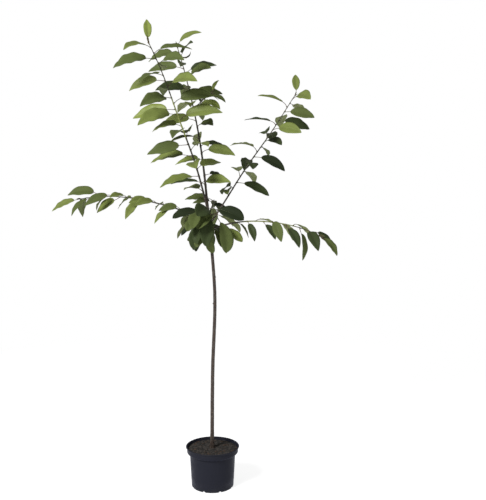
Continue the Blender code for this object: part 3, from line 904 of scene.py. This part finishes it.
def addBud(shape, spot, way, size):
    # a pointed egg
    wide, long = size
    turned = Matrix.Translation(spot) @ way.to_track_quat("Z", "Y").to_matrix().to_4x4()
    verts = bmesh.ops.create_icosphere(shape, subdivisions=2, radius=1)["verts"]
    for vert in verts:
        x, y, z = vert.co
        narrow = 1 - 0.55 * max(z, 0)
        vert.co = turned @ Vector((x * wide * narrow, y * wide * narrow, z * long))


def makeShoots():
    shape = bmesh.new()
    age = shape.verts.layers.float.new("age")
    freshness = shape.verts.layers.float.new("freshness")
    buds = bmesh.new()
    draw = random.Random(19)
    bulge, spread = shootLook["cushion"]
    ringHeight, ringSpacing, ringEnd = shootLook["scaleRings"]
    beyond, clear = shootLook["budPlace"]
    fades = shootLook["freshFade"]
    for name, shoot in shoots.items():
        path = paths[name]
        start = max(shoot["bare"] - shootLook["overlap"], 0)
        count = round((shoot["length"] - start) / shootLook["ring"])
        points, radii, ages = [], [], []
        nodes = [leaf["distance"] for leaf in leaves[name]]
        isSpur = shoot["length"] < growth["spurLength"]
        for i in range(count + 1):
            distance = between(start, shoot["length"], i / count)
            radius = limbRadius(shoot, distance)
            radius += sum(bulge * math.exp(-(((distance - node) / spread) ** 2)) for node in nodes)
            if isSpur or distance < shoot["bare"] + ringEnd:
                radius += ringHeight * math.sin(distance * math.tau / ringSpacing)
            points.append(atDistance(path, distance)[0])
            radii.append(radius)
            ages.append(0.1 if isSpur else distance / shoot["length"])
        verts = sweepTube(shape, points, radii, shootLook["sides"])
        for vert in verts:
            nearest = min(range(0, count + 1, 2), key=lambda i: (points[i] - vert.co).length_squared)
            vert[age] = ages[nearest]
            if name in shootLook["freshStretches"]:
                low, high, most = shootLook["freshStretches"][name]
                distance = between(start, shoot["length"], nearest / count)
                share = easeIn(distance, low, low + fades) * (1 - easeIn(distance, high - fades, high))
                vert[freshness] = most * share
        for leaf in leaves[name]:
            radius = limbRadius(shoot, leaf["distance"])
            way = (leaf["along"] + leaf["out"] * 0.35).normalized()
            spot = leaf["node"] + leaf["along"] * beyond + leaf["out"] * (radius + clear)
            wide, long = shootLook["bud"]
            scale = draw.uniform(0.8, 1.15)
            addBud(buds, spot, way, (wide * scale, long * scale))
        tip, way = atDistance(path, shoot["length"])
        addBud(buds, tip + way * 0.001, way, (radii[-1] * 1.15, 0.0034))
    bmesh.ops.recalc_face_normals(shape, faces=shape.faces[:])
    newPiece("youngShoots", shape, [makeShootFinish()])
    newPiece("buds", buds, [makeBudFinish()])


makeShoots()
print("young shoots and buds made")

# The trunk and the boughs, under one bark

barkLook = {
    "voxel": 0.00092,
    "smoothing": 3,
    "trunkRings": 420,
    "trunkSides": 40,
    "boughRing": 0.0025,
    "boughSides": 24,
    "nubSides": 16,
    "sunkInSoil": 0.004,
    "lobes": 5,
    "lobeDepth": 0.17,
    "lobeFade": (0.011, 0.06),  # how fast the lobes fade upwards, and where they end
    "swell": 0.00030,
    "lenticels": 210,
    "lenticelSize": (0.0008, 0.0034),  # half its height and half its width at most
    "lenticelHeight": 0.00028,
    "nubs": ((1.044, -70, 0.0026), (0.930, 40, 0.0022), (0.815, 155, 0.0024), (0.655, -120, 0.0021),
             (0.500, 80, 0.0023)),  # height, azimuth and radius of each healed cut
    "brown": (0.042, 0.025, 0.016),
    "dark": (0.017, 0.011, 0.008),
    "silver": (0.086, 0.074, 0.062),
    "silverShare": 0.42,
    "cork": (0.190, 0.140, 0.095),
}


def addTrunk(shape):
    foot = growth["soilLevel"] - barkLook["sunkInSoil"]
    count = barkLook["trunkRings"]
    heights = [between(foot, growth["forkHeight"], i / count) for i in range(count + 1)]
    points = [trunkPoint(height) for height in heights]
    radii = [trunkRadius(height) for height in heights]
    fades, end = barkLook["lobeFade"]
    for vert in sweepTube(shape, points, radii, barkLook["trunkSides"]):
        above = max(vert.co.z - growth["soilLevel"], 0)
        if above < end:
            centre = trunkPoint(vert.co.z)
            turn = math.atan2(vert.co.y - centre.y, vert.co.x - centre.x)
            lobe = barkLook["lobeDepth"] * math.cos(barkLook["lobes"] * turn + 0.8 * math.sin(turn))
            grow = 1 + lobe * math.exp(-above / fades)
            vert.co.x = centre.x + (vert.co.x - centre.x) * grow
            vert.co.y = centre.y + (vert.co.y - centre.y) * grow


def addBough(shape, limb, path):
    count = round(limb["bare"] / barkLook["boughRing"])
    reach = [limb["bare"] * i / count for i in range(count + 1)]
    points = [atDistance(path, distance)[0] for distance in reach]
    radii = [limbRadius(limb, distance) + 0.00015 for distance in reach]
    sweepTube(shape, points, radii, barkLook["boughSides"])


def addNub(shape, height, azimuth, radius):
    way = heading(azimuth, 35)
    out = heading(azimuth, 0)
    start = trunkPoint(height) + out * (trunkRadius(height) - 0.002)
    points = [start + way * 0.0012 * i for i in range(6)]
    radii = [radius * (1.5 - 0.10 * i) for i in range(5)] + [radius * 0.75]
    sweepTube(shape, points, radii, barkLook["nubSides"])


def lenticelSpots():
    # centre, direction of the limb and half width of each lenticel
    draw = random.Random(5)
    stretches = [(0.95, None)] + [(limb["bare"], name) for name, limb in limbs.items() if limb["bare"]]
    total = sum(length for length, _ in stretches)
    low, high = growth["soilLevel"] + 0.015, growth["forkHeight"]
    spots = []
    for length, name in stretches:
        for _ in range(round(barkLook["lenticels"] * length / total)):
            share = draw.random()
            if name:
                point, way = atDistance(paths[name], length * share)
                radius = limbRadius(limbs[name], length * share)
            else:
                height = between(low, high, share)
                point, way, radius = trunkPoint(height), Vector((0, 0, 1)), trunkRadius(height)
            side = way.orthogonal().normalized()
            side.rotate(Matrix.Rotation(draw.uniform(0, math.tau), 3, way))
            spots.append((point + side * radius, way, draw.uniform(0.3, 1) * barkLook["lenticelSize"][1]))
    return spots


def makeBarkFinish():
    finish, tree, shader = newFinish("bark", barkLook["brown"], 0.45, 0.5)
    place = objectPlace(tree)
    banded = stretch(tree, place, (1, 1, 7))
    bands = blotches(tree, banded, 55, 0.42, 0.66)
    peel = blotches(tree, place, 38, 0.50, 0.62)
    skin = mixColours(tree, bands, barkLook["brown"], barkLook["dark"])
    silver = calc(tree, "MULTIPLY", peel, barkLook["silverShare"])
    skin = mixColours(tree, silver, skin, barkLook["silver"])
    fill(tree, shader["Base Color"], mixColours(tree, attribute(tree, "corky"), skin, barkLook["cork"]))
    fill(tree, shader["Roughness"], remap(tree, peel, 0, 1, 0.38, 0.62))
    height = calc(tree, "MULTIPLY_ADD", bands, 0.7, pores(tree, banded, 700, 1.4))
    addBump(tree, shader, height, 0.00022)
    return finish


def makeBark():
    shape = bmesh.new()
    addTrunk(shape)
    for name, limb in limbs.items():
        if limb["bare"]:
            addBough(shape, limb, paths[name])
    for nub in barkLook["nubs"]:
        addNub(shape, *nub)
    united = linkObject("barkRough", finishMesh("barkRough", shape))
    skin = united.modifiers.new("skin", "REMESH")
    skin.mode = "VOXEL"
    skin.voxel_size = barkLook["voxel"]
    mesh = applyModifiers(united)
    bpy.data.objects.remove(united)

    shape = bmesh.new()
    shape.from_mesh(mesh)
    axes = {"use_axis_x": True, "use_axis_y": True, "use_axis_z": True}
    for _ in range(barkLook["smoothing"]):
        bmesh.ops.smooth_vert(shape, verts=shape.verts[:], factor=0.5, **axes)
    shape.normal_update()
    spots = numpy.array([vert.co for vert in shape.verts])
    corky = numpy.zeros(len(spots))
    halfHeight = barkLook["lenticelSize"][0]
    for centre, way, halfWidth in lenticelSpots():
        offset = spots - numpy.array(centre)
        along = offset @ numpy.array(way)
        around = numpy.sqrt(numpy.maximum((offset**2).sum(axis=1) - along**2, 0))
        near = 1 - (along / halfHeight) ** 2 - (around / halfWidth) ** 2
        corky = numpy.maximum(corky, numpy.clip(near * 1.6, 0, 1))
    layer = shape.verts.layers.float.new("corky")
    for vert, cork in zip(shape.verts, corky):
        banded = Vector((vert.co.x, vert.co.y, vert.co.z * 5))
        swell = noise.noise(vert.co * 55) + 0.5 * noise.noise(banded * 130)
        vert.co += vert.normal * (swell * barkLook["swell"] + cork * barkLook["lenticelHeight"])
        vert[layer] = cork
    shape.to_mesh(mesh)
    shape.free()
    covered = ["trunk"] + ["bough_" + name for name, limb in limbs.items() if limb["bare"]]
    dressPiece("barkSkin", mesh, [makeBarkFinish()], covered)
    print("bark made,", len(mesh.polygons), "faces")


makeBark()

# Pot

potLook = {
    "height": 0.180,
    "rim": 0.1175,
    "band": 0.1127,
    "bandHeight": 0.029,
    "bodyTop": 0.1000,
    "bodyBase": 0.0925,
    "wall": 0.0022,
    "steps": 144,
    "notches": 8,
    "notchWidth": 0.014,
    "notchHeight": 0.006,
    "plastic": (0.0175, 0.0185, 0.0265),
    "gleam": (0.10, 0.18, 1.0),  # the blue that the sides show: a painted reflection of blue sky
    "dust": (0.034, 0.034, 0.036),
}


def arc(middle, radius, start, end, count):
    # points of a round stretch of profile, with angles in degrees
    points = []
    for i in range(count + 1):
        turn = math.radians(between(start, end, i / count))
        points.append((middle[0] + radius * math.cos(turn), middle[1] + radius * math.sin(turn)))
    return points


def turnProfile(profile, steps):
    shape = bmesh.new()
    verts = [shape.verts.new((r, 0, z)) for r, z in profile]
    edges = [shape.edges.new(pair) for pair in zip(verts, verts[1:])]
    bmesh.ops.spin(
        shape, geom=verts + edges, cent=(0, 0, 0), axis=(0, 0, 1), angle=math.tau, steps=steps, use_merge=True
    )
    bmesh.ops.remove_doubles(shape, verts=shape.verts[:], dist=0.00001)
    bmesh.ops.recalc_face_normals(shape, faces=shape.faces[:])
    return shape


def makePotFinish():
    finish, tree, shader = newFinish("pot", potLook["plastic"], 0.50, 0.04)
    # a blue sheen at the edges, a painted reflection of blue sky
    shader["Sheen Weight"].default_value = 0.045
    shader["Sheen Roughness"].default_value = 0.35
    shader["Sheen Tint"].default_value = (*potLook["gleam"], 1)
    place = objectPlace(tree)
    height = addNode(tree, "SeparateXYZ", {"Vector": place}).outputs["Z"]
    blotch = blotches(tree, place, 22, 0.42, 0.72)
    splashed = remap(tree, height, 0.030, 0.0, 0, 0.5)
    rubbed = remap(tree, height, 0.165, 0.181, 0, 0.35)
    dusty = calc(tree, "MULTIPLY", calc(tree, "ADD", splashed, rubbed), blotch)
    scuffs = blotches(tree, stretch(tree, place, (1, 1, 0.08)), 240, 0.60, 0.72)
    dusty = calc(tree, "MULTIPLY_ADD", scuffs, 0.12, dusty)
    fill(tree, shader["Base Color"], mixColours(tree, dusty, potLook["plastic"], potLook["dust"]))
    fill(tree, shader["Roughness"], calc(tree, "MULTIPLY_ADD", blotch, 0.14, 0.36))
    addBump(tree, shader, pores(tree, place, 1400, 0.8), 0.00009)
    return finish


def makePot():
    wall, height, rim, band = potLook["wall"], potLook["height"], potLook["rim"], potLook["band"]
    bandFoot = height - potLook["bandHeight"]
    bodyTop, bodyBase = potLook["bodyTop"], potLook["bodyBase"]
    slope = (bodyTop - bodyBase) / (bandFoot - 0.004)
    ring = 0.031  # a faint step low on the body
    profile = [(0, 0.0014), (bodyBase - 0.016, 0.0014)]
    profile += [(bodyBase - 0.013, 0.0004), (bodyBase - 0.011, 0.0)]
    profile += arc((bodyBase - 0.0035, 0.0035), 0.0035, -90, 0, 5)
    ringRadius = bodyBase + slope * (ring - 0.004)
    profile += [(ringRadius, ring - 0.0006), (ringRadius + 0.0005, ring)]
    profile += [(bodyBase + slope * (h - 0.004) + 0.0003, h) for h in (0.05, 0.075, 0.10, 0.125)]
    profile += arc((bodyTop + 0.0032, bandFoot - 0.0032), 0.0030, 180, 90, 4)
    profile += arc((band - 0.0065, bandFoot + 0.0065), 0.0065, -90, -8, 6)
    profile += [(band, bandFoot + 0.014), (band + 0.0004, height - 0.0075)]
    profile += arc((band + 0.0028, height - 0.0066), 0.0024, 180, 100, 3)
    profile += arc((rim - 0.0021, height - 0.0021), 0.0021, -70, 140, 8)
    profile += [(band - wall + 0.001, height - 0.0010), (band - wall, height - 0.0030)]
    profile += [(band - wall, bandFoot + 0.004), (band - wall - 0.004, bandFoot - 0.001)]
    profile += [(bodyTop - wall, bandFoot - 0.004), (bodyBase - wall, 0.006)]
    profile += [(bodyBase - wall - 0.004, wall + 0.001), (0, wall + 0.001)]
    body = linkObject("potBody", finishMesh("potBody", turnProfile(profile, potLook["steps"])))

    # arched notches round the foot
    arches = bmesh.new()
    halfWidth = potLook["notchWidth"] / 2
    for i in range(potLook["notches"]):
        turn = Matrix.Rotation(math.tau * (i + 0.5) / potLook["notches"], 4, "Z")
        place = turn @ Matrix.Translation((bodyBase, 0, 0)) @ Matrix.Rotation(math.pi / 2, 4, "Y")
        size = Matrix.Diagonal((potLook["notchHeight"] / halfWidth, 1, 1, 1))
        bmesh.ops.create_cone(
            arches, cap_ends=True, segments=32, radius1=halfWidth, radius2=halfWidth, depth=0.024,
            matrix=place @ size,
        )
    cutter = linkObject("arches", finishMesh("arches", arches))
    cut = body.modifiers.new("notches", "BOOLEAN")
    cut.operation = "DIFFERENCE"
    cut.object = cutter
    mesh = applyModifiers(body)
    bpy.data.objects.remove(body)
    bpy.data.objects.remove(cutter)
    dressPiece("potShell", mesh, [makePotFinish()], ["pot"])
    mesh.set_sharp_from_angle(angle=math.radians(40))


makePot()
print("pot made")

# Potting soil

soilLook = {
    "level": 0.170,
    "radius": potLook["band"] - potLook["wall"] - 0.0007,
    "depth": 0.165,
    "footRadius": 0.082,
    "steps": 160,
    "rings": 52,
    "swells": ((0.0016, 26), (0.0012, 85), (0.0006, 240)),  # how high, and how fine
    "crumbs": dict(count=430, seed=11, sizes=(0.0012, 0.0052), colour="earth"),
    "grits": dict(count=40, seed=17, sizes=(0.0008, 0.0022), colour="grit"),
    "chips": dict(count=44, seed=23, inner=0.16),
    "earth": (0.024, 0.022, 0.020),
    "dryEarth": (0.076, 0.066, 0.058),
    "chip": (0.074, 0.046, 0.032),
    "grit": (0.130, 0.120, 0.108),
    "surface": dict(roughness=0.92, shine=0.25, blotches=(110, 0.42, 0.68), pores=(650, 1.6)),
}


def soilHeight(x, y):
    away = math.hypot(x, y)
    place = Vector((x, y, 0.31))
    swell = sum(high * noise.noise(place * fine) for high, fine in soilLook["swells"])
    mound = 0.0016 * math.exp(-((away / 0.022) ** 2))
    sunk = 0.0028 * easeIn(away, 0.080, soilLook["radius"])
    return soilLook["level"] + swell + mound - sunk


def makeSoil():
    rings = soilLook["rings"]
    level, radius = soilLook["level"], soilLook["radius"]
    foot = level - soilLook["depth"]
    profile = [(radius * i / rings, level) for i in range(rings + 1)]
    footRadius = soilLook["footRadius"]
    narrow = potLook["bodyTop"] - potLook["wall"] - 0.0005
    bandFoot = potLook["height"] - potLook["bandHeight"]
    profile += [(radius - 0.0009, level - 0.010), (narrow, bandFoot - 0.005)]
    profile += [(footRadius + 0.006, foot + 0.004), (footRadius, foot), (0, foot)]
    shape = turnProfile(profile, soilLook["steps"])
    for vert in shape.verts:
        if vert.co.z > level - 0.001:
            vert.co.z = soilHeight(vert.co.x, vert.co.y)
    colours = (soilLook["earth"], soilLook["dryEarth"])
    finish = speckledFinish("soil", colours, soilLook["surface"], 0.0005)
    newPiece("soilBed", shape, [finish], ["potting_soil"])


def scatter(count, seed, inner):
    # random places on the soil
    draw = random.Random(seed)
    for _ in range(count):
        away = (inner + (1 - inner) * math.sqrt(draw.random())) * (soilLook["radius"] - 0.004)
        turn = draw.uniform(0, math.tau)
        x, y = away * math.cos(turn), away * math.sin(turn)
        yield draw, Vector((x, y, soilHeight(x, y)))


def makeCrumbs(name, count, seed, sizes, colour):
    shape = bmesh.new()
    for draw, spot in scatter(count, seed, 0.14):
        size = between(*sizes, draw.random() ** 2.2)
        turned = Matrix.Rotation(draw.uniform(0, math.tau), 4, (draw.random(), draw.random(), 1))
        flat = Matrix.Diagonal((size, size * draw.uniform(0.6, 1), size * draw.uniform(0.45, 0.8), 1))
        place = Matrix.Translation(spot + Vector((0, 0, size * 0.12))) @ flat @ turned
        fine = 2 if size > 0.003 else 1
        verts = bmesh.ops.create_icosphere(shape, subdivisions=fine, radius=1, matrix=place)["verts"]
        for vert in verts:
            out = vert.co - spot
            vert.co += out * 0.42 * noise.noise(vert.co * 520)
    colours = (soilLook[colour], soilLook["dryEarth"])
    newPiece(name, shape, [speckledFinish(name, colours, soilLook["surface"], 0.0003)])


def makeChips():
    shape = bmesh.new()
    for draw, spot in scatter(**soilLook["chips"]):
        long = draw.uniform(0.003, 0.0075)
        size = Matrix.Diagonal((long, long * draw.uniform(0.3, 0.6), long * draw.uniform(0.12, 0.25), 1))
        turned = Euler((draw.uniform(-0.4, 0.4), draw.uniform(-0.4, 0.4), draw.uniform(0, math.tau)))
        place = Matrix.Translation(spot + Vector((0, 0, 0.0009))) @ turned.to_matrix().to_4x4() @ size
        made = bmesh.ops.create_cube(shape, size=2, matrix=place)["verts"]
        edges = list({edge for vert in made for edge in vert.link_edges})
        bmesh.ops.bevel(
            shape, geom=edges, offset=long * 0.06, affect="EDGES", segments=1, profile=0.5, material=-1
        )
    for vert in shape.verts:
        vert.co += noise.noise_vector(vert.co * 300) * 0.0007
    colours = (soilLook["chip"], [part * 0.45 for part in soilLook["chip"]])
    finish = speckledFinish("barkChips", colours, soilLook["surface"], 0.0004)
    newPiece("barkChips", shape, [finish])


makeSoil()
makeCrumbs("soilCrumbs", **soilLook["crumbs"])
makeCrumbs("grit", **soilLook["grits"])
makeChips()
print("soil made")

# Floor, light and camera

studio = {
    "floorRadius": 9.0,
    "floor": (0.42, 0.42, 0.42),
    "floorGlow": 0.83,
    "fadeFrom": 0.9,
    "fadeTo": 3.0,
    "skyForLight": 0.28,
    "keyPlace": (-2.7, -3.3, 3.9),
    "keySize": 1.7,
    "keyPower": 262,
    "fillPlace": (3.2, -3.0, 2.0),
    "fillSize": 3.0,
    "fillPower": 13,
    "aim": (0.0, 0.0, 1.25),
    "cameraPlace": (0.1345, -3.3, 1.42),
    "cameraPitch": 83.6,
    "lens": 55.66,
}


def makeFloor():
    shape = bmesh.new()
    bmesh.ops.create_circle(shape, cap_ends=True, segments=96, radius=studio["floorRadius"])
    mesh = finishMesh("floor", shape)
    finish, tree, shader = newFinish("floor", studio["floor"], 0.8, 0.2)
    shader["Emission Color"].default_value = (1, 1, 1, 1)
    shader["Emission Strength"].default_value = studio["floorGlow"]
    away = addNode(tree, "VectorMath", {0: objectPlace(tree)}, operation="LENGTH").outputs["Value"]
    fade = remap(tree, away, studio["fadeFrom"], studio["fadeTo"])
    glow = addNode(tree, "Emission", {"Color": (1, 1, 1), "Strength": 1.0}).outputs["Emission"]
    plain = tree.nodes["Principled BSDF"].outputs["BSDF"]
    mix = addNode(tree, "MixShader", {0: fade, 1: plain, 2: glow})
    fill(tree, tree.nodes["Material Output"].inputs["Surface"], mix.outputs["Shader"])
    mesh.materials.append(finish)
    floor = linkObject("floor", mesh)


def makeSky():
    # white behind the object, and a softer white for its light
    world = bpy.data.worlds.new("sky")
    world.use_nodes = True
    tree = world.node_tree
    tree.nodes.clear()
    seen = addNode(tree, "LightPath").outputs["Is Camera Ray"]
    light = addNode(tree, "Background", {"Color": (1, 1, 1), "Strength": studio["skyForLight"]}).outputs
    shown = addNode(tree, "Background", {"Color": (1, 1, 1), "Strength": 1.0}).outputs
    mix = addNode(tree, "MixShader", {0: seen, 1: light["Background"], 2: shown["Background"]})
    target = addNode(tree, "OutputWorld")
    fill(tree, target.inputs["Surface"], mix.outputs["Shader"])
    bpy.context.scene.world = world


def addLight(name, place, size, power):
    light = bpy.data.lights.new(name, "AREA")
    light.shape = "DISK"
    light.size = size
    light.energy = power
    lamp = linkObject(name, light)
    lamp.location = place
    lamp.rotation_euler = (Vector(studio["aim"]) - Vector(place)).to_track_quat("-Z", "Y").to_euler()


def makeCamera():
    lens = bpy.data.cameras.new("camera")
    lens.lens = studio["lens"]
    lens.sensor_width = 36
    camera = linkObject("camera", lens)
    camera.location = studio["cameraPlace"]
    camera.rotation_euler = (math.radians(studio["cameraPitch"]), 0, 0)
    bpy.context.scene.camera = camera


makeFloor()
makeSky()
addLight("key", studio["keyPlace"], studio["keySize"], studio["keyPower"])
addLight("fill", studio["fillPlace"], studio["fillSize"], studio["fillPower"])
makeCamera()
bpy.context.scene.view_settings.view_transform = "Standard"
print("floor, light and camera placed")
